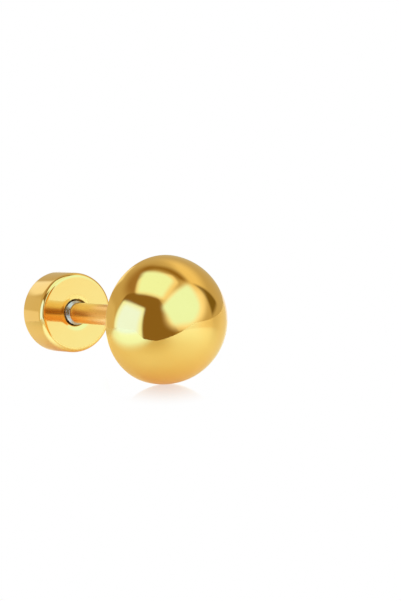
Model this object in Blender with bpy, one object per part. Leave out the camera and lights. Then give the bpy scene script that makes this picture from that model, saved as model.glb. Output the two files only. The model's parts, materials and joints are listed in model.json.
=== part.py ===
"""A stud earring as it lies on a table: a polished half ball on a straight post,
and a round back that screws onto the post's bare steel thread.

The head faces -Y and the back +Y. The head's rim and the back's rim both rest on the surface at
Z = 0, each on a shallow flat, so the post slopes down from the larger head to the smaller back. The
origin is the middle of the footprint, under the middle of the length."""

import math

import bmesh
import bpy
from mathutils import Matrix, Vector

# Driving dimensions, in metres
HEAD_RADIUS = 0.0040
HEAD_EDGE_ROUND = 0.00015
POST_RADIUS = 0.00065
POST_LENGTH = 0.0110
SOLDER_FILLET = 0.00022
BACK_RADIUS = 0.0025
BACK_THICKNESS = 0.0025
BACK_FRONT_ROUND = 0.00020
BACK_REAR_ROUND = 0.00020
HOLE_RADIUS = 0.00084
HOLE_DEPTH = 0.00190
HOLE_CHAMFER = 0.00004

# The fine thread rolled on the post, 80 turns to the inch
THREAD_RADIUS = 0.00076
THREAD_ROOT_RADIUS = 0.00058
THREAD_PITCH = 0.00032
THREAD_SHOWN = 0.00030
THREAD_SHOULDER_FADE = 0.00010
THREAD_IN_BACK = 0.00150

# The head is soldered a little off square, nodding down in front
HEAD_NOD = math.radians(4.0)

# The round pieces rest on flats this deep, without which they would roll
REST_FLAT = 0.00015
SURFACE_SIZE = 0.040

# Facets: a side, not a corner, points down
SIDES = 36
HALF_SIDE = math.pi / SIDES
DOME_STEPS = 12
ROUND_STEPS = 3
THREAD_RINGS_PER_TURN = 4
POST_ROOT_IN_HEAD = 0.0004

GOLD = (0.91, 0.60, 0.20, 1.0)
STEEL = (0.62, 0.61, 0.59, 1.0)


def clear_scene():
    for obj in list(bpy.data.objects):
        bpy.data.objects.remove(obj, do_unlink=True)


def polished_metal(name, colour, roughness):
    material = bpy.data.materials.new(name)
    material.use_nodes = True
    shader = material.node_tree.nodes["Principled BSDF"]
    shader.inputs["Base Color"].default_value = colour
    shader.inputs["Metallic"].default_value = 1.0
    shader.inputs["Roughness"].default_value = roughness
    return material


def arc(centre_radius, centre_height, size, start, end, steps):
    """Points (radius, height) on an arc, by angle from the outward direction towards +Z."""
    points = []
    for step in range(steps + 1):
        angle = math.radians(start + (end - start) * step / steps)
        points.append((centre_radius + size * math.cos(angle), centre_height + size * math.sin(angle)))
    return points


def turned(profile):
    """A bmesh turned about Z from a profile of (radius, height) points that starts and ends on the axis."""
    shape = bmesh.new()
    corners = [shape.verts.new((radius, 0.0, height)) for radius, height in profile]
    edges = [shape.edges.new(pair) for pair in zip(corners, corners[1:])]
    bmesh.ops.spin(
        shape,
        geom=corners + edges,
        cent=(0.0, 0.0, 0.0),
        axis=(0.0, 0.0, 1.0),
        angle=2 * math.pi,
        steps=SIDES,
        use_merge=True,
    )
    bmesh.ops.remove_doubles(shape, verts=shape.verts[:], dist=1e-7)
    bmesh.ops.rotate(shape, verts=shape.verts[:], cent=(0, 0, 0), matrix=Matrix.Rotation(HALF_SIDE, 3, "Z"))
    bmesh.ops.recalc_face_normals(shape, faces=shape.faces[:])
    return shape


def piece(name, shape, materials):
    mesh = bpy.data.meshes.new(name)
    shape.to_mesh(mesh)
    shape.free()
    for material in materials:
        mesh.materials.append(material)
    mesh.shade_smooth()
    mesh.set_sharp_from_angle(angle=math.radians(35))
    obj = bpy.data.objects.new(name, mesh)
    bpy.context.scene.collection.objects.link(obj)
    return obj


def helper(name, shape, materials):
    """A piece that only joins or cuts others."""
    obj = piece(name, shape, materials)
    obj.hide_render = True
    obj.display_type = "WIRE"
    return obj


def combine(obj, name, operation, other):
    step = obj.modifiers.new(name, "BOOLEAN")
    step.operation = operation
    step.solver = "EXACT"
    step.object = other


def empty(name, parent=None):
    obj = bpy.data.objects.new(name, None)
    obj.empty_display_size = HEAD_RADIUS
    obj.parent = parent
    bpy.context.scene.collection.objects.link(obj)
    return obj


def head_shape():
    """The half ball. Z = 0 is its flat back, and its round front is towards +Z."""
    rim = arc(HEAD_RADIUS - HEAD_EDGE_ROUND, HEAD_EDGE_ROUND, HEAD_EDGE_ROUND, -90, 0, ROUND_STEPS)
    dome = arc(0.0, HEAD_EDGE_ROUND, HEAD_RADIUS, 0, 90, DOME_STEPS)
    return turned([(0.0, 0.0)] + rim[:-1] + dome[:-1] + [(0.0, HEAD_EDGE_ROUND + HEAD_RADIUS)])


def thread_radius(height, angle, start, end):
    """The thread's surface: a ridge that climbs one pitch a turn and fades out at both ends."""
    turn = (height / THREAD_PITCH - angle / (2 * math.pi)) % 1.0
    ridge = 1.0 - abs(2.0 * turn - 1.0)
    fade = min(1.0, (height - start) / THREAD_PITCH, (end - height) / THREAD_SHOULDER_FADE)
    return THREAD_ROOT_RADIUS + (THREAD_RADIUS - THREAD_ROOT_RADIUS) * ridge * max(0.0, fade)


def post_shape():
    """The post, from its root inside the head at the top, down to the end of its thread. Z = 0 is the
    back's front face, where the thread goes in."""
    tip = -THREAD_IN_BACK
    shoulder = THREAD_SHOWN
    root = POST_LENGTH + POST_ROOT_IN_HEAD
    rings = round((shoulder - tip) / THREAD_PITCH * THREAD_RINGS_PER_TURN)
    thread = [(THREAD_ROOT_RADIUS, tip + (shoulder - tip) * ring / rings) for ring in range(rings + 1)]
    post = [
        (POST_RADIUS, shoulder + THREAD_SHOULDER_FADE),
        (POST_RADIUS, POST_LENGTH - SOLDER_FILLET),
    ]
    fillet = arc(
        POST_RADIUS + SOLDER_FILLET, POST_LENGTH - SOLDER_FILLET, SOLDER_FILLET, 180, 90, ROUND_STEPS
    )
    foot = [(POST_RADIUS + SOLDER_FILLET, root), (0.0, root)]
    shape = turned([(0.0, tip)] + thread + post + fillet[1:] + foot)
    for corner in shape.verts:
        if corner.co.xy.length > THREAD_ROOT_RADIUS / 2 and corner.co.z < shoulder:
            angle = math.atan2(corner.co.y, corner.co.x)
            corner.co.xy *= thread_radius(corner.co.z, angle, tip, shoulder) / corner.co.xy.length
    for face in shape.faces:
        face.material_index = int(face.calc_center_median().z < shoulder)
    return shape


def back_shape():
    """The screw back. Z = 0 is its front face, with the mouth of the blind hole in it."""
    rear = -BACK_THICKNESS
    hole = [
        (0.0, -HOLE_DEPTH),
        (HOLE_RADIUS, -HOLE_DEPTH),
        (HOLE_RADIUS, -HOLE_CHAMFER),
        (HOLE_RADIUS + HOLE_CHAMFER, 0.0),
    ]
    front_edge = arc(
        BACK_RADIUS - BACK_FRONT_ROUND, -BACK_FRONT_ROUND, BACK_FRONT_ROUND, 90, 0, ROUND_STEPS
    )
    rear_edge = arc(
        BACK_RADIUS - BACK_REAR_ROUND, rear + BACK_REAR_ROUND, BACK_REAR_ROUND, 0, -90, ROUND_STEPS
    )
    return turned(hole + front_edge + rear_edge + [(0.0, rear)])


def resting_slope():
    """How steeply the post climbs to the head when both rims touch the surface."""
    flat = math.cos(HALF_SIDE)
    rear_rim = BACK_THICKNESS - BACK_REAR_ROUND
    slope = 0.0
    for _ in range(20):
        head_tilt = slope - HEAD_NOD
        head_height = HEAD_RADIUS * flat * math.cos(head_tilt) - HEAD_EDGE_ROUND * math.sin(head_tilt)
        back_height = BACK_RADIUS * flat * math.cos(slope) + rear_rim * math.sin(slope)
        slope = math.asin((head_height - back_height) / POST_LENGTH)
    return slope


def surface_shape():
    """What the earring lies on: a block with its top at Z = 0."""
    shape = bmesh.new()
    bmesh.ops.create_cube(shape, size=SURFACE_SIZE)
    bmesh.ops.translate(shape, verts=shape.verts[:], vec=(0.0, 0.0, -SURFACE_SIZE / 2))
    return shape


def seat_on_surface(holder, pieces):
    """Moves the holder so that the pieces reach REST_FLAT below Z = 0, about the middle of their box."""
    bpy.context.view_layer.update()
    graph = bpy.context.evaluated_depsgraph_get()
    points = []
    for obj in pieces:
        solid = obj.evaluated_get(graph)
        points += [solid.matrix_world @ corner.co for corner in solid.data.vertices]
    low = Vector(min(point[axis] for point in points) for axis in range(3))
    high = Vector(max(point[axis] for point in points) for axis in range(3))
    middle = (low + high) / 2
    holder.location -= Vector((middle.x, middle.y, low.z + REST_FLAT))
    bpy.context.view_layer.update()


def build():
    clear_scene()
    gold = polished_metal("gold_plated_steel", GOLD, 0.08)
    steel = polished_metal("bare_steel", STEEL, 0.22)
    slope = resting_slope()

    earring = empty("earring")
    thread_axis = empty("thread_axis", earring)
    thread_axis.rotation_euler.x = math.pi / 2 - slope

    post = helper("post_form", post_shape(), [gold, steel])
    post.parent = thread_axis

    stud = piece("stud", head_shape(), [gold, steel])
    stud.parent = thread_axis
    stud.location.z = POST_LENGTH
    stud.rotation_euler.x = HEAD_NOD
    combine(stud, "solder", "UNION", post)

    screw_back = piece("screw_back", back_shape(), [gold])
    screw_back.parent = thread_axis

    seat_on_surface(earring, [stud, screw_back])
    surface = helper("surface", surface_shape(), [gold])
    for obj in (stud, screw_back):
        combine(obj, "rest_flat", "DIFFERENCE", surface)


build()
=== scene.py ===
import json
import math

import bmesh
import bpy
from mathutils import Matrix, Vector


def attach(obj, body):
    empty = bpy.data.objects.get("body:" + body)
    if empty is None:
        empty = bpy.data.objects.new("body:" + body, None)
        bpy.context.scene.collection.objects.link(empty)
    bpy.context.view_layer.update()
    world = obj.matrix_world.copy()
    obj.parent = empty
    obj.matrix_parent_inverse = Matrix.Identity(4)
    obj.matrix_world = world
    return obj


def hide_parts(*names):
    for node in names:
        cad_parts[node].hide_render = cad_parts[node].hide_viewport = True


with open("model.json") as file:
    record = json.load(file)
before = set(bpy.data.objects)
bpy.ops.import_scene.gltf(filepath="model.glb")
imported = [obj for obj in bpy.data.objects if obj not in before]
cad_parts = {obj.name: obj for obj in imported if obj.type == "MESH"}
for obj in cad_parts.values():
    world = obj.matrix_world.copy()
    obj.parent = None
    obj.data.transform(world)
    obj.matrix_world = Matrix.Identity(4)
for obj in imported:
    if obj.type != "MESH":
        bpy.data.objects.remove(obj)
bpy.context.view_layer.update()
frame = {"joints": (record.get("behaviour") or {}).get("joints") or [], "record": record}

MM = 0.001

# Sizes of the earring, in metres
HEAD_RADIUS = 0.0040
HEAD_EDGE_ROUND = 0.00015
POST_RADIUS = 0.00065
POST_LENGTH = 0.0110
BACK_RADIUS = 0.0025
BACK_THICKNESS = 0.0025
BACK_REAR_ROUND = 0.00020
HOLE_RADIUS = 0.00084
HOLE_DEPTH = 0.00190
HOLE_CHAMFER = 0.00004
MOUTH_RADIUS = HOLE_RADIUS + HOLE_CHAMFER

# The solder where the post meets the head, and the foot that the leaning head hides inside itself: this
# deep, and this many times as wide beyond the post as the fillet
SOLDER_FILLET = 0.00026
FOOT_IN_HEAD = 0.00015
FOOT_FLARE = 1.3

# The round of the back's front edge, and how many times as deep it is as it is wide
BACK_FRONT_ROUND = 0.00020
FRONT_ROUND_DEPTH = 2.0
FACE_RADIUS = BACK_RADIUS - BACK_FRONT_ROUND

# Polishing leaves the back's face a little hollow, with a shallow dish round the mouth of its hole
FACE_HOLLOW = 0.000014
DISH_RADIUS = 0.00112
DISH_DEPTH = 0.00002

# The fine thread, 80 turns to the inch, rolled on the post and cut in the back
THREAD_RADIUS = 0.00076
THREAD_ROOT_RADIUS = 0.00058
THREAD_PITCH = 0.00032
THREAD_SHOWN = 0.00022
THREAD_SHOULDER_FADE = 0.00010
THREAD_IN_BACK = 0.00150
TAPPED_CREST_RADIUS = 0.00080
NOSE_LENGTH = 0.00010
NOSE_RADIUS = 0.8 * THREAD_ROOT_RADIUS

# The thread's form in shares of half a pitch: the flat of its root, and the slope from there to its crest
ROOT_FLAT = 0.06
FLANK = 0.86

# How finely the round pieces are turned
HEAD_SIDES = 192
DOME_STEPS = 64
POST_SIDES = 96
POST_RINGS = 8
SHOULDER_STEPS = 6
BACK_SIDES = 160
DISH_RINGS = 6
FACE_RINGS = 10
FLAT_RINGS = 4
ROUND_STEPS = 10
THREAD_RINGS_PER_TURN = 24
SHARP_EDGE = math.radians(30)


def in_place(origin, towards):
    """The place of a turned piece: local +Z points towards, and local +X stays level."""
    z = Vector(towards).normalized()
    x = Vector((1.0, 0.0, 0.0))
    y = z.cross(x).normalized()
    place = Matrix((x, y, z)).transposed().to_4x4()
    place.translation = origin
    return place


def mount(name):
    """A mount's point and the way its face looks, from the record."""
    found = next(m for m in frame["record"]["mounts"] if m["name"] == name)
    return Vector(found["pos_m"]), Vector(found["axis"])


# Places, from the frame: the post's axis runs from the head to the back
post_axis = Vector(frame["joints"][0]["axis"]).normalized()
back_outer, _ = mount("back_outer_face")
back_face = back_outer - post_axis * BACK_THICKNESS
head_back = back_face - post_axis * POST_LENGTH
_, lobe_side = mount("lobe_front_face")
screw_place = in_place(back_face, -post_axis)
head_place = in_place(head_back, -lobe_side)


# Turned shapes

def arc(centre_radius, centre_height, size, start, end, steps):
    """Points (radius, height) on an arc, by angle from the outward direction towards +Z."""
    points = []
    for step in range(steps + 1):
        angle = math.radians(start + (end - start) * step / steps)
        points.append((centre_radius + size * math.cos(angle), centre_height + size * math.sin(angle)))
    return points


def turned(name, profile, sides, radius_at=None):
    """A mesh turned about its own Z from (radius, height) points. A point on the axis becomes one vertex.
    radius_at(radius, height, angle) may move the surface in or out, as a thread does."""
    mesh = bpy.data.meshes.new(name)
    points = []
    rings = []
    for radius, height in profile:
        first = len(points)
        if radius == 0.0:
            points.append((0.0, 0.0, height))
            rings.append([first] * sides)
            continue
        for side in range(sides):
            angle = 2 * math.pi * side / sides
            out = radius_at(radius, height, angle) if radius_at else radius
            points.append((out * math.cos(angle), out * math.sin(angle), height))
        rings.append(list(range(first, first + sides)))
    faces = []
    for lower, upper in zip(rings, rings[1:]):
        for side in range(sides):
            beside = (side + 1) % sides
            corners = (lower[side], lower[beside], upper[beside], upper[side])
            faces.append(tuple(dict.fromkeys(corners)))
    mesh.from_pydata(points, [], faces)
    shape = bmesh.new()
    shape.from_mesh(mesh)
    bmesh.ops.recalc_face_normals(shape, faces=shape.faces[:])
    shape.to_mesh(mesh)
    shape.free()
    mesh.shade_smooth()
    mesh.set_sharp_from_angle(angle=SHARP_EDGE)
    return mesh


def piece(name, mesh, place, material, body):
    """A piece of the earring, in its place and riding on its body."""
    obj = bpy.data.objects.new(name, mesh)
    obj.matrix_world = place
    mesh.materials.append(material)
    bpy.context.scene.collection.objects.link(obj)
    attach(obj, body)
    return obj


# The earring's pieces

def half_ball(finish):
    """The head: a half ball, its flat back at local Z = 0 and a small round where the two meet."""
    flat = [(HEAD_RADIUS * ring / FLAT_RINGS, 0.0) for ring in range(FLAT_RINGS)]
    rim = arc(HEAD_RADIUS - HEAD_EDGE_ROUND, HEAD_EDGE_ROUND, HEAD_EDGE_ROUND, -90, 0, ROUND_STEPS)
    dome = arc(0.0, HEAD_EDGE_ROUND, HEAD_RADIUS, 0, 90, DOME_STEPS)
    top = (0.0, HEAD_EDGE_ROUND + HEAD_RADIUS)
    mesh = turned("half_ball", flat + rim[:-1] + dome[:-1] + [top], HEAD_SIDES)
    obj = piece("half_ball", mesh, head_place, finish, "stud")
    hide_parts("stud")


def post_with_fillet(finish):
    """The post, from the thread's shoulder up to the solder that flares onto the head."""
    shoulder = THREAD_SHOWN
    shoulder_round = POST_RADIUS - THREAD_ROOT_RADIUS
    neck = POST_LENGTH - SOLDER_FILLET
    end = POST_LENGTH + FOOT_IN_HEAD
    rounded = arc(THREAD_ROOT_RADIUS, shoulder + shoulder_round, shoulder_round, -90, 0, SHOULDER_STEPS)
    shank = [(POST_RADIUS, shoulder + THREAD_SHOULDER_FADE)]
    for ring in range(1, POST_RINGS):
        shank.append((POST_RADIUS, shoulder + (neck - shoulder) * ring / POST_RINGS))
    fillet = arc(POST_RADIUS + SOLDER_FILLET, neck, SOLDER_FILLET, 180, 90, ROUND_STEPS)
    foot = [(POST_RADIUS + SOLDER_FILLET * FOOT_FLARE, end), (0.0, end)]
    mesh = turned("post", [(0.0, shoulder)] + rounded + shank + fillet + foot, POST_SIDES)
    piece("post", mesh, screw_place, finish, "stud")


def ridge(height, angle):
    """How far up the thread's flank a point is: 0 on the flat of the root, 1 on the flat of the crest."""
    turn = (height / THREAD_PITCH - angle / (2 * math.pi)) % 1.0
    climb = 1.0 - abs(2.0 * turn - 1.0)
    return min(1.0, max(0.0, (climb - ROOT_FLAT) / FLANK))


def rolled_thread(finish):
    """The bare end of the post: a helical ridge that fades out at the blunt nose and at the shoulder."""
    tip = -THREAD_IN_BACK
    length = THREAD_SHOWN - tip

    def rolled(radius, height, angle):
        if radius < THREAD_ROOT_RADIUS:
            return radius
        fade = min(1.0, (height - tip) / THREAD_PITCH, (THREAD_SHOWN - height) / THREAD_SHOULDER_FADE)
        return radius + (THREAD_RADIUS - radius) * ridge(height, angle) * max(0.0, fade)

    rings = round(length / THREAD_PITCH * THREAD_RINGS_PER_TURN)
    nose = [(0.0, tip - NOSE_LENGTH), (NOSE_RADIUS, tip - NOSE_LENGTH)]
    thread = [(THREAD_ROOT_RADIUS, tip + length * ring / rings) for ring in range(rings + 1)]
    mesh = turned("rolled_thread", nose + thread + [(0.0, THREAD_SHOWN)], POST_SIDES, rolled)
    piece("rolled_thread", mesh, screw_place, finish, "stud")


def face_height(radius):
    """The height of the back's polished face at this radius: level with local Z = 0 at its edge, and a
    hair lower towards the hole."""
    share = min(1.0, (radius - MOUTH_RADIUS) / (DISH_RADIUS - MOUTH_RADIUS))
    dish = DISH_DEPTH * (0.5 + 0.5 * math.cos(math.pi * share))
    return -FACE_HOLLOW * (1.0 - (radius / FACE_RADIUS) ** 2) - dish


def screw_back(finish):
    """The back: a round nut with softly rounded edges and a tapped blind hole in its front face."""

    def tapped(radius, height, angle):
        if radius != HOLE_RADIUS:
            return radius
        return radius + (TAPPED_CREST_RADIUS - radius) * (1.0 - ridge(height, angle))

    rear = -BACK_THICKNESS
    rear_radius = BACK_RADIUS - BACK_REAR_ROUND
    lip = -HOLE_CHAMFER - DISH_DEPTH - FACE_HOLLOW
    rings = round(HOLE_DEPTH / THREAD_PITCH * THREAD_RINGS_PER_TURN)
    wall = [(HOLE_RADIUS, -HOLE_DEPTH + (HOLE_DEPTH + lip) * ring / rings) for ring in range(rings + 1)]
    radii = []
    for ring in range(DISH_RINGS + 1):
        radii.append(MOUTH_RADIUS + (DISH_RADIUS - MOUTH_RADIUS) * ring / DISH_RINGS)
    for ring in range(1, FACE_RINGS):
        radii.append(DISH_RADIUS + (FACE_RADIUS - DISH_RADIUS) * ring / FACE_RINGS)
    face = [(radius, face_height(radius)) for radius in radii]
    even_round = arc(FACE_RADIUS, -BACK_FRONT_ROUND, BACK_FRONT_ROUND, 90, 0, ROUND_STEPS)
    front_edge = [(radius, height * FRONT_ROUND_DEPTH) for radius, height in even_round]
    rear_edge = arc(rear_radius, rear + BACK_REAR_ROUND, BACK_REAR_ROUND, 0, -90, ROUND_STEPS)
    outer = [(rear_radius * ring / FLAT_RINGS, rear) for ring in range(FLAT_RINGS - 1, -1, -1)]
    profile = [(0.0, -HOLE_DEPTH)] + wall + face + front_edge + rear_edge + outer
    mesh = turned("screw_nut", profile, BACK_SIDES, tapped)
    obj = piece("screw_nut", mesh, screw_place, finish, "back")
    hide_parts("screw_back")


# Finishes

# A colour mix repeats its socket names for numbers and vectors, so its colours go by their places
MIX_UNDER = 6
MIX_OVER = 7
MIX_RESULT = 2

WHITE = (1.0, 1.0, 1.0, 1.0)


def linear(hex_colour):
    """An opaque sRGB hex colour as the linear numbers that the shaders take."""
    channels = [int(hex_colour[k:k + 2], 16) / 255 for k in (1, 3, 5)]
    return [c / 12.92 if c <= 0.04045 else ((c + 0.055) / 1.055) ** 2.4 for c in channels] + [1.0]


def add(tree, kind, links=(), **settings):
    """Adds a node. A setting named after an input, with _ for each space, sets that input, and any other
    sets a property. links are (input, socket) pairs."""
    node = tree.nodes.new(kind)
    for name, value in settings.items():
        socket = node.inputs.get(name.replace("_", " "))
        if socket is not None and not hasattr(node, name):
            socket.default_value = value
        else:
            setattr(node, name, value)
    for target, source in links:
        tree.links.new(source, node.inputs[target])
    return node


def new_finish(name):
    """A material, its node tree and the shader in it."""
    material = bpy.data.materials.new(name)
    material.use_nodes = True
    tree = material.node_tree
    return material, tree, tree.nodes["Principled BSDF"]


def gold_plating():
    """Steel plated with gold and polished to a mirror. The plating is a warm yellow that shifts very
    slightly with its thickness, and the polishing wheel leaves a faint haze and a soft waviness."""
    material, tree, shader = new_finish("polished_gold_plated_steel")
    spot = add(tree, "ShaderNodeTexCoord").outputs["Object"]

    # Plating thickness changes over about 1.5 mm
    thickness = add(tree, "ShaderNodeTexNoise", [("Vector", spot)], Scale=1 / (1.5 * MM), Detail=2.0)
    colour = add(tree, "ShaderNodeMix", [("Factor", thickness.outputs["Fac"])], data_type="RGBA")
    colour.inputs[MIX_UNDER].default_value = linear("#F8CA74")
    colour.inputs[MIX_OVER].default_value = linear("#FACE7A")
    tree.links.new(colour.outputs[MIX_RESULT], shader.inputs["Base Color"])

    # Polishing haze, in patches of 0.6 mm
    haze = add(tree, "ShaderNodeTexNoise", [("Vector", spot)], Scale=1 / (0.6 * MM), Detail=4.0)
    rough = add(tree, "ShaderNodeMapRange", [("Value", haze.outputs["Fac"])], To_Min=0.035, To_Max=0.075)
    tree.links.new(rough.outputs["Result"], shader.inputs["Roughness"])

    # The wheel's waviness, 0.9 mm from crest to crest and a fraction of a micron deep
    wave = add(tree, "ShaderNodeTexNoise", [("Vector", spot)], Scale=1 / (0.9 * MM), Detail=1.0)
    depth = 0.0008 * MM
    bump = add(tree, "ShaderNodeBump", [("Height", wave.outputs["Fac"])], Strength=1.0, Distance=depth)
    tree.links.new(bump.outputs["Normal"], shader.inputs["Normal"])
    shader.inputs["Metallic"].default_value = 1.0
    return material


def satin_gold_plating():
    """The same plating on drawn wire, left satin: fine lines along the post spread what it mirrors."""
    material, tree, shader = new_finish("satin_gold_plated_steel_wire")
    spot = add(tree, "ShaderNodeTexCoord").outputs["Object"]

    # Drawing lines, 0.04 mm apart round the post and 3 mm long, coarser than real ones so that they show
    lines = add(
        tree,
        "ShaderNodeMapping",
        [("Vector", spot)],
        Scale=(1 / (0.04 * MM), 1 / (0.04 * MM), 1 / (3 * MM)),
    )
    grain = add(tree, "ShaderNodeTexNoise", [("Vector", lines.outputs["Vector"])], Scale=1.0, Detail=2.0)
    rough = add(tree, "ShaderNodeMapRange", [("Value", grain.outputs["Fac"])], To_Min=0.22, To_Max=0.34)
    tree.links.new(rough.outputs["Result"], shader.inputs["Roughness"])
    depth = 0.0006 * MM
    bump = add(tree, "ShaderNodeBump", [("Height", grain.outputs["Fac"])], Strength=0.4, Distance=depth)
    tree.links.new(bump.outputs["Normal"], shader.inputs["Normal"])
    shader.inputs["Base Color"].default_value = linear("#FFC06C")
    shader.inputs["Metallic"].default_value = 1.0
    return material


def bare_steel():
    """Stainless steel as thread rolling leaves it, without plating: a silver grey a shade warm,
    smeared a little along the thread."""
    material, tree, shader = new_finish("bare_rolled_stainless_steel")
    spot = add(tree, "ShaderNodeTexCoord").outputs["Object"]

    # Smears left by the rolling dies, 0.25 mm long round the thread and 0.03 mm apart along the post
    smear = add(
        tree,
        "ShaderNodeMapping",
        [("Vector", spot)],
        Scale=(1 / (0.25 * MM), 1 / (0.25 * MM), 1 / (0.03 * MM)),
    )
    grain = add(tree, "ShaderNodeTexNoise", [("Vector", smear.outputs["Vector"])], Scale=1.0, Detail=3.0)
    rough = add(tree, "ShaderNodeMapRange", [("Value", grain.outputs["Fac"])], To_Min=0.18, To_Max=0.34)
    tree.links.new(rough.outputs["Result"], shader.inputs["Roughness"])
    depth = 0.002 * MM
    bump = add(tree, "ShaderNodeBump", [("Height", grain.outputs["Fac"])], Strength=0.5, Distance=depth)
    tree.links.new(bump.outputs["Normal"], shader.inputs["Normal"])
    shader.inputs["Base Color"].default_value = linear("#C8BDB0")
    shader.inputs["Metallic"].default_value = 1.0
    return material


# Camera, at the photograph's viewing angle. The picture is taken as 401 by 601 pixels.
PICTURE_WIDTH = 401
PICTURE_HEIGHT = 601
CAMERA_AZIMUTH = math.radians(-29.44)
CAMERA_ELEVATION = math.radians(9.75)
CAMERA_DISTANCE = 0.500
SENSOR_HEIGHT = 24.0

# The photograph's scale at the head, and where in it the half ball's centre is
HEAD_PIXELS_PER_MM = 16.247
HEAD_CENTRE_PIXEL = (162.6, 319.5)


def direction(azimuth, elevation):
    """The way to a place round the earring: azimuth 0 is in front of the head, 90 degrees is at +X."""
    return Vector((
        math.sin(azimuth) * math.cos(elevation),
        -math.cos(azimuth) * math.cos(elevation),
        math.sin(elevation),
    ))


def camera():
    """Sees the head's centre at its pixel, with the distance and lens that give the photograph's scale."""
    towards = direction(CAMERA_AZIMUTH, CAMERA_ELEVATION)
    right = Vector((math.cos(CAMERA_AZIMUTH), math.sin(CAMERA_AZIMUTH), 0.0))
    up = towards.cross(right)
    metres_per_pixel = MM / HEAD_PIXELS_PER_MM
    aim = head_place @ Vector((0.0, 0.0, HEAD_EDGE_ROUND))
    aim += right * (PICTURE_WIDTH / 2 - HEAD_CENTRE_PIXEL[0]) * metres_per_pixel
    aim -= up * (PICTURE_HEIGHT / 2 - HEAD_CENTRE_PIXEL[1]) * metres_per_pixel
    data = bpy.data.cameras.new("camera")
    data.sensor_fit = "VERTICAL"
    data.sensor_height = SENSOR_HEIGHT
    data.lens = SENSOR_HEIGHT * CAMERA_DISTANCE / (PICTURE_HEIGHT * metres_per_pixel)
    data.clip_start = 0.01
    data.clip_end = 10.0
    obj = bpy.data.objects.new("camera", data)
    obj.matrix_world = Matrix((right, up, towards)).transposed().to_4x4()
    obj.matrix_world.translation = aim + towards * CAMERA_DISTANCE
    bpy.context.scene.collection.objects.link(obj)
    bpy.context.scene.camera = obj


# Studio: large soft lamps and dim walls round the table, which the metal mirrors

# Each has a name, the softness of its edge in degrees, its light, and its corners in order round it. A
# corner is an azimuth from the camera's side and an elevation, in degrees. Each hides those before it.
STUDIO = [
    ("far_wall", 24, (0.94, 0.86, 0.54),
        [(60, 46), (110, 66), (165, 62), (178, 36), (106, 28)]),
    ("left_wall", 24, (0.37, 0.25, 0.10),
        [(-168, 63), (-130, 68), (-68, 48), (-76, 10), (-108, 34), (-157, 18)]),
    ("left_wall_foot", 8, (0.72, 0.67, 0.46),
        [(-140, 14), (-100, 14), (-85, -21), (-140, -18)]),
    ("ceiling_gap", 14, (0.28, 0.17, 0.02),
        [(100, 54), (-152, 49), (-122, 52), (-141, 51), (90, 65)]),
    ("right_gap", 8, (0.21, 0.15, 0.03),
        [(100, 3), (105, 51), (116, 32), (126, 10)]),
    ("back_band", 3.5, (0.91, 0.90, 0.74),
        [(-170, -2), (-117, -4), (-117, -21), (-170, -22)]),
    ("back_line", 2.5, (0.50, 0.40, 0.25),
        [(-170, -22), (-100, -20), (-100, -26), (-170, -27)]),
    ("back_light", 6, (1.02, 1.08, 1.00),
        [(-157, 15), (-133, 14), (-133, 31), (-157, 31)]),
    ("dark_wall", 4, (0.27, 0.18, 0.05),
        [(-92, -60), (-90, 32), (-77, 63), (-21, 54), (-7, 52), (32, 11), (51, -49)]),
    ("lamp_rims", 7, (1.0, 1.0, 0.8),
        [(-100, 27), (-75, 43), (-4, 37), (19, 53), (77, 66), (104, 73), (-160, 54), (-110, 58)]),
    ("top_lamp", 11, (0.94, 1.49, 1.77),
        [(-68, 47), (1, 48), (74, 73), (109, 79), (-136, 59)]),
    ("right_rim", 21, (1.09, 1.13, 1.02),
        [(8, 1), (0, 55), (23, 60), (59, 67), (113, 41), (87, 9), (59, -8), (39, -13)]),
    ("right_lamp", 16, (0.91, 1.52, 2.02),
        [(14, 4), (-3, 33), (23, 54), (55, 61), (95, 57), (79, 19), (57, 0), (17, -1)]),
    ("low_gap", 5, (0.40, 0.29, 0.07),
        [(23, -17), (60, -13), (97, 0), (97, 5), (61, -5), (25, -7)]),
    ("left_rim", 6, (1.00, 1.41, 1.53),
        [(-103, -39), (-87, 27), (-35, 27), (-39, -51)]),
    ("left_lamp", 15, (0.93, 1.54, 3.20),
        [(-103, -43), (-81, 26), (-38, 23), (-51, -39)]),
]
ROOM_LIGHT = (0.60, 0.53, 0.32)


def panel_mask(tree, ray, corners, softness):
    """1 inside a flat panel's outline as seen from the table, and 0 outside."""
    ways = [direction(CAMERA_AZIMUTH + math.radians(a), math.radians(e)) for a, e in corners]
    middle = sum(ways, Vector()).normalized()
    width = math.sin(math.radians(softness))
    mask = None
    for here, beside in zip(ways, ways[1:] + ways[:1]):
        inward = here.cross(beside).normalized()
        if inward.dot(middle) < 0:
            inward = -inward
        side = add(tree, "ShaderNodeVectorMath", [(0, ray)], operation="DOT_PRODUCT")
        side.inputs[1].default_value = inward
        inside = add(
            tree,
            "ShaderNodeMapRange",
            [("Value", side.outputs["Value"])],
            interpolation_type="SMOOTHSTEP",
            From_Min=-width / 2,
            From_Max=width / 2,
        ).outputs["Result"]
        if mask is None:
            mask = inside
        else:
            both = add(tree, "ShaderNodeMath", [(0, mask), (1, inside)], operation="MULTIPLY")
            mask = both.outputs["Value"]
    return mask


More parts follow.
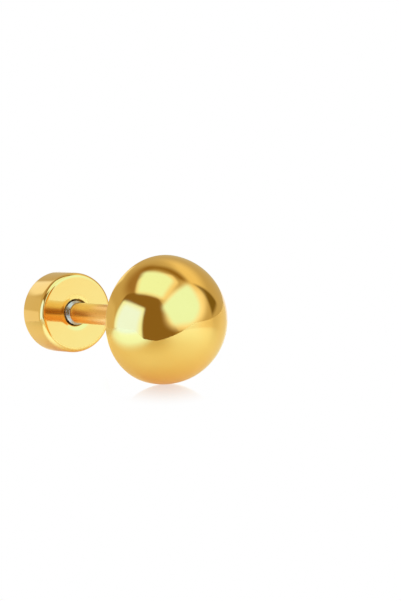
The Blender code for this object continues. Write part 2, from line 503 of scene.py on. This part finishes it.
def studio():
    """The lamps and walls that the metal mirrors. The camera itself sees plain white behind the table."""
    world = bpy.data.worlds.new("studio")
    world.use_nodes = True
    tree = world.node_tree
    tree.nodes.clear()
    ray = add(tree, "ShaderNodeTexCoord").outputs["Generated"]
    light = None
    for name, softness, colour, corners in STUDIO:
        mask = panel_mask(tree, ray, corners, softness)
        layer = add(tree, "ShaderNodeMix", [("Factor", mask)], data_type="RGBA", label=name)
        if light is None:
            layer.inputs[MIX_UNDER].default_value = (*ROOM_LIGHT, 1.0)
        else:
            tree.links.new(light, layer.inputs[MIX_UNDER])
        layer.inputs[MIX_OVER].default_value = (*colour, 1.0)
        light = layer.outputs[MIX_RESULT]
    lit = add(tree, "ShaderNodeBackground", [("Color", light)])
    white = add(tree, "ShaderNodeBackground", Color=WHITE)
    seen = add(tree, "ShaderNodeLightPath").outputs["Is Camera Ray"]
    both = add(
        tree,
        "ShaderNodeMixShader",
        [(0, seen), (1, lit.outputs["Background"]), (2, white.outputs["Background"])],
    )
    add(tree, "ShaderNodeOutputWorld", [("Surface", both.outputs["Shader"])])
    bpy.context.scene.world = world


# The table that the camera sees. It mirrors the head in an oval patch across and along the view.
TABLE_SIZE = 3.0
TABLE_CLEARANCE = 0.002 * MM
MIRRORED_ACROSS = 4.3 * MM
MIRRORED_ALONG = 7.8 * MM
MIRRORED_SHARE = 0.42

# The board that the metal mirrors in the table's place, a hair lower. Its corner is behind the earring, to
# the left, and from there it runs far to the front and to the right.
BOARD_SIZE = 1.5
BOARD_DROP = 0.01 * MM
BOARD_TURN = math.radians(-63.4)
BOARD_CORNER = (-16.7 * MM, 7.9 * MM)
BOARD_STEP = (-9.6 * MM, -10.9 * MM)
BOARD_NOTCH = 23.3 * MM
BOARD_TONGUE = 9.3 * MM

# Lamplight and shade on the board: a patch's name, its centre, the distances where it starts and stops
# fading, all in millimetres, and its light
BOARD_GLOW = (0.29, 0.25, 0.18)
PATCHES = [
    ("light_before_the_head", (9.0, -21.0), 6.0, 17.0, (0.38, 0.48, 0.52)),
    ("shade_at_the_corner", (-15.0, 12.0), 8.0, 13.0, (0.12, 0.10, 0.10)),
    ("light_beside_the_back", (-4.4, 4.7), 2.0, 4.2, (0.52, 0.92, 1.45)),
    ("shade_at_the_notch", (-6.5, -13.0), 1.5, 6.0, (0.14, 0.07, 0.0)),
    ("light_of_the_left_lamp", (-18.4, -7.4), 9.3, 13.2, (0.36, 0.83, 1.38)),
    ("left_lamp_on_the_tongue", (-25.0, -4.0), 6.0, 13.0, (0.27, 0.76, 2.20)),
]

# The card behind the head
CARD_DISTANCE = 22.0 * MM
CARD_HEIGHT = 5.0 * MM
CARD_WIDTH = 30.0 * MM


def sheet(name, corners, finish):
    """A flat sheet that the earring stands on or mirrors, and that is no part of it."""
    mesh = bpy.data.meshes.new(name)
    mesh.from_pydata(corners, [], [tuple(range(len(corners)))])
    mesh.materials.append(finish)
    obj = bpy.data.objects.new(name, mesh)
    bpy.context.scene.collection.objects.link(obj)
    return obj


def white_table(contact):
    """Glossy white acrylic, lit so that it photographs white. Near the head it still mirrors, faintly."""
    material, tree, shader = new_finish("white_acrylic")
    tree.nodes.remove(shader)
    glow = add(tree, "ShaderNodeEmission", Color=WHITE, Strength=1.0)
    gloss = add(tree, "ShaderNodeBsdfAnisotropic", Color=WHITE, Roughness=0.05)
    place = add(tree, "ShaderNodeNewGeometry").outputs["Position"]
    patch = add(
        tree,
        "ShaderNodeMapping",
        [("Vector", place)],
        vector_type="TEXTURE",
        Location=contact,
        Rotation=(0.0, 0.0, CAMERA_AZIMUTH),
        Scale=(MIRRORED_ACROSS, MIRRORED_ALONG, 1.0),
    )
    away = add(tree, "ShaderNodeVectorMath", [(0, patch.outputs["Vector"])], operation="LENGTH")
    share = add(
        tree,
        "ShaderNodeMapRange",
        [("Value", away.outputs["Value"])],
        interpolation_type="SMOOTHSTEP",
        From_Min=0.0,
        From_Max=1.0,
        To_Min=MIRRORED_SHARE,
        To_Max=0.0,
    )
    both = add(
        tree,
        "ShaderNodeMixShader",
        [(0, share.outputs["Result"]), (1, glow.outputs["Emission"]), (2, gloss.outputs["BSDF"])],
    )
    tree.links.new(both.outputs["Shader"], tree.nodes["Material Output"].inputs["Surface"])
    return material


def lamplit_board():
    """The board as the metal mirrors it: white acrylic with a soft gloss, brightest where lamps shine."""
    material, tree, shader = new_finish("white_acrylic_under_the_lamps")
    place = add(tree, "ShaderNodeNewGeometry").outputs["Position"]
    light = None
    for name, (x, y), inner, outer, colour in PATCHES:
        away = add(tree, "ShaderNodeVectorMath", [(0, place)], operation="DISTANCE")
        away.inputs[1].default_value = (x * MM, y * MM, 0.0)
        patch = add(
            tree,
            "ShaderNodeMapRange",
            [("Value", away.outputs["Value"])],
            interpolation_type="SMOOTHSTEP",
            From_Min=inner * MM,
            From_Max=outer * MM,
            To_Min=1.0,
            To_Max=0.0,
        )
        mask = patch.outputs["Result"]
        layer = add(tree, "ShaderNodeMix", [("Factor", mask)], data_type="RGBA", label=name)
        if light is None:
            layer.inputs[MIX_UNDER].default_value = (*BOARD_GLOW, 1.0)
        else:
            tree.links.new(light, layer.inputs[MIX_UNDER])
        layer.inputs[MIX_OVER].default_value = (*colour, 1.0)
        light = layer.outputs[MIX_RESULT]
    tree.links.new(light, shader.inputs["Emission Color"])
    shader.inputs["Emission Strength"].default_value = 1.0
    shader.inputs["Base Color"].default_value = linear("#F7ECCB")
    shader.inputs["Roughness"].default_value = 0.25
    return material


def white_card():
    """White card, lit so that it looks evenly white."""
    material, tree, shader = new_finish("white_card_behind")
    tree.nodes.remove(shader)
    glow = add(tree, "ShaderNodeEmission", Color=WHITE, Strength=1.0)
    tree.links.new(glow.outputs["Emission"], tree.nodes["Material Output"].inputs["Surface"])
    return material


def lowest_point():
    """The lowest point of the head's widest circle, where the head touches the table."""
    circle = []
    for side in range(HEAD_SIDES):
        angle = 2 * math.pi * side / HEAD_SIDES
        rim = Vector((HEAD_RADIUS * math.cos(angle), HEAD_RADIUS * math.sin(angle), HEAD_EDGE_ROUND))
        circle.append(head_place @ rim)
    return min(circle, key=lambda point: point.z)


def board_outline():
    """The mirrored board from above. Its near edge passes about 9 mm from the head on the left, where a
    step and a notch are cut in it. Its rear edge passes 6.6 mm behind the back. A tongue reaches out to
    the left, under the left lamp."""
    corner = Vector(BOARD_CORNER)
    near = Vector((math.cos(BOARD_TURN), math.sin(BOARD_TURN)))
    side = Vector((-near.y, near.x))
    near_end = corner + near * BOARD_SIZE
    rear_end = corner + side * BOARD_SIZE
    far_end = near_end + side * BOARD_SIZE
    notch = corner + near * BOARD_NOTCH
    tongue = corner - side * BOARD_TONGUE
    step = Vector(BOARD_STEP)
    left_end = Vector((tongue.x, step.y))
    return [step, notch, near_end, far_end, rear_end, corner, tongue, left_end]


def table():
    """Stands the earring on a white table, and lays the board that the metal mirrors just under it."""
    contact = lowest_point()
    contact.z -= TABLE_CLEARANCE
    half = TABLE_SIZE / 2
    square = [(-half, -half), (half, -half), (half, half), (-half, half)]
    top = sheet("table", [(x, y, contact.z) for x, y in square], white_table(contact))
    top.visible_glossy = False
    top.visible_diffuse = False
    board = [(x, y, contact.z - BOARD_DROP) for x, y in board_outline()]
    mirrored = sheet("board_in_metal", board, lamplit_board())
    mirrored.visible_camera = False
    card_behind(contact.z)


def card_behind(foot_height):
    """A low white card behind the head, so that the table's gloss is white round the head's reflection."""
    away = -direction(CAMERA_AZIMUTH, 0.0)
    across = Vector((-away.y, away.x, 0.0))
    middle = away * CARD_DISTANCE + Vector((head_back.x, head_back.y, foot_height))
    corners = []
    for side, height in ((-1, 0.0), (1, 0.0), (1, CARD_HEIGHT), (-1, CARD_HEIGHT)):
        corners.append(middle + across * side * CARD_WIDTH / 2 + Vector((0.0, 0.0, height)))
    card = sheet("white_card_behind", corners, white_card())
    card.visible_camera = False
    card.visible_diffuse = False


gold = gold_plating()
half_ball(gold)
post_with_fillet(satin_gold_plating())
rolled_thread(bare_steel())
screw_back(gold)
camera()
studio()
table()

scene = bpy.context.scene
scene.view_settings.view_transform = "Standard"
scene.view_settings.look = "None"

bpy.context.view_layer.update()
